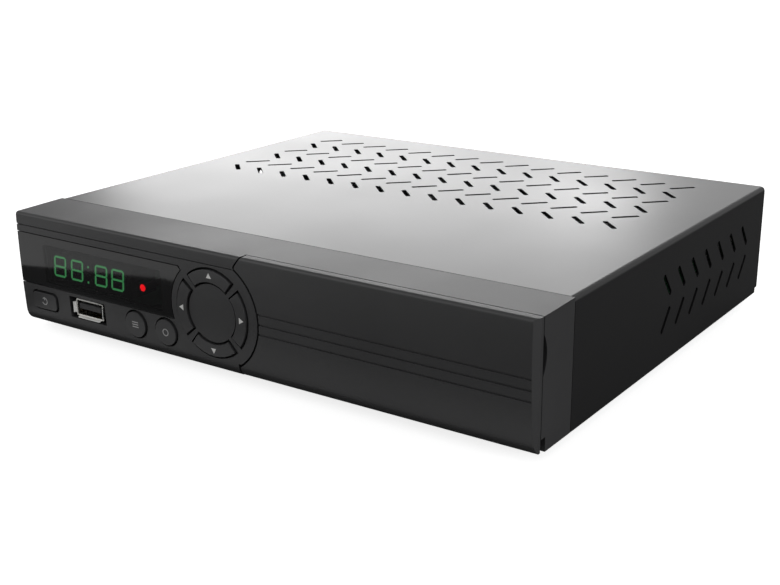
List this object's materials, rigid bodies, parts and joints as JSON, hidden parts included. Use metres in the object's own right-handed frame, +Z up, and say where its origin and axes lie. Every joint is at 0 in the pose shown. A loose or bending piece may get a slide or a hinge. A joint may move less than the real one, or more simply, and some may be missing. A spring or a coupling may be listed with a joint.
{
  "type": "satellite tv receiver",
  "caption": "Small satellite TV receiver: folded black metal case with slanted vent slots, plastic front with smoked display window, push buttons, USB socket and flip-down door.",
  "frame": {"origin": "middle of the whole object's footprint, on the plane that the feet stand on", "axes": "+X to the viewer's right along the front, +Y from the front to the rear sockets, +Z up"},
  "size_m": [0.22, 0.1966, 0.0462],
  "materials": {
    "satin_black_metal": "satin",
    "black_plastic": "satin",
    "button_black": "satin",
    "smoked_lens": "gloss",
    "tinned_steel": "satin",
    "zinc_steel": "satin",
    "green_board": "satin",
    "brown_board": "matte",
    "moulded_black": "matte",
    "aluminium": "satin",
    "transformer_yellow": "satin",
    "grey_ribbon": "matte",
    "white_plastic": "satin",
    "red_lamp": "gloss",
    "rubber": "matte"
  },
  "bodies": {
    "case": {"top_cover": "satin_black_metal", "front_fascia": "black_plastic", "display_window": "smoked_lens", "front_usb_socket": "tinned_steel", "satellite_tuner": "tinned_steel", "terrestrial_tuner": "tinned_steel", "hdmi_socket": "tinned_steel", "ethernet_socket": "tinned_steel", "module_cage": "tinned_steel", "chassis_tray": "zinc_steel", "cover_screw_1": "zinc_steel", "cover_screw_2": "zinc_steel", "cover_screw_3": "zinc_steel", "main_board_screw_1": "zinc_steel", "main_board_screw_2": "zinc_steel", "main_board_screw_3": "zinc_steel", "main_board_screw_4": "zinc_steel", "power_board_screw_1": "zinc_steel", "power_board_screw_2": "zinc_steel", "front_board_screw_1": "zinc_steel", "front_board_screw_2": "zinc_steel", "main_board": "green_board", "front_board": "green_board", "power_board": "brown_board", "display_module": "moulded_black", "ir_receiver": "moulded_black", "processor_chip": "moulded_black", "av_sockets": "moulded_black", "card_reader": "moulded_black", "bulk_capacitor": "moulded_black", "mains_inlet": "moulded_black", "mains_switch_housing": "moulded_black", "power_switch": "moulded_black", "menu_switch": "moulded_black", "ok_switch": "moulded_black", "up_switch": "moulded_black", "down_switch": "moulded_black", "left_switch": "moulded_black", "right_switch": "moulded_black", "processor_heatsink": "aluminium", "rectifier_heatsink": "aluminium", "transformer": "transformer_yellow", "ribbon_cable": "grey_ribbon", "power_lead": "white_plastic", "standby_led": "red_lamp", "foot_front_left": "rubber", "foot_front_right": "rubber", "foot_rear_left": "rubber", "foot_rear_right": "rubber"},
    "door": {"front_door": "black_plastic", "door_pin_left": "tinned_steel", "door_pin_right": "tinned_steel"},
    "power_button": {"power_button": "button_black"},
    "menu_button": {"menu_button": "button_black"},
    "ok_button": {"ok_button": "button_black"},
    "up_button": {"up_button": "button_black"},
    "down_button": {"down_button": "button_black"},
    "left_button": {"left_button": "button_black"},
    "right_button": {"right_button": "button_black"},
    "rocker": {"mains_rocker": "button_black"}
  },
  "joints": [
    {"name": "door_hinge", "type": "hinge", "parent": "case", "child": "door", "pos_m": [0, -0.0937, 0.006], "axis": [1, 0, 0], "range_deg": [0, 90]},
    {"name": "power_button_press", "type": "slide", "parent": "case", "child": "power_button", "axis": [0, 1, 0], "range_m": [0, 0.0005], "stiffness_N_per_m": 600},
    {"name": "menu_button_press", "type": "slide", "parent": "case", "child": "menu_button", "axis": [0, 1, 0], "range_m": [0, 0.0005], "stiffness_N_per_m": 600},
    {"name": "ok_button_press", "type": "slide", "parent": "case", "child": "ok_button", "axis": [0, 1, 0], "range_m": [0, 0.0005], "stiffness_N_per_m": 600},
    {"name": "up_button_press", "type": "slide", "parent": "case", "child": "up_button", "axis": [0, 1, 0], "range_m": [0, 0.0005], "stiffness_N_per_m": 600},
    {"name": "down_button_press", "type": "slide", "parent": "case", "child": "down_button", "axis": [0, 1, 0], "range_m": [0, 0.0005], "stiffness_N_per_m": 600},
    {"name": "left_button_press", "type": "slide", "parent": "case", "child": "left_button", "axis": [0, 1, 0], "range_m": [0, 0.0005], "stiffness_N_per_m": 600},
    {"name": "right_button_press", "type": "slide", "parent": "case", "child": "right_button", "axis": [0, 1, 0], "range_m": [0, 0.0005], "stiffness_N_per_m": 600},
    {"name": "mains_rocker_turn", "type": "hinge", "parent": "case", "child": "rocker", "pos_m": [-0.0625, 0.0843, 0.0186], "axis": [0, 0, 1], "range_deg": [-20, 0]}
  ]
}
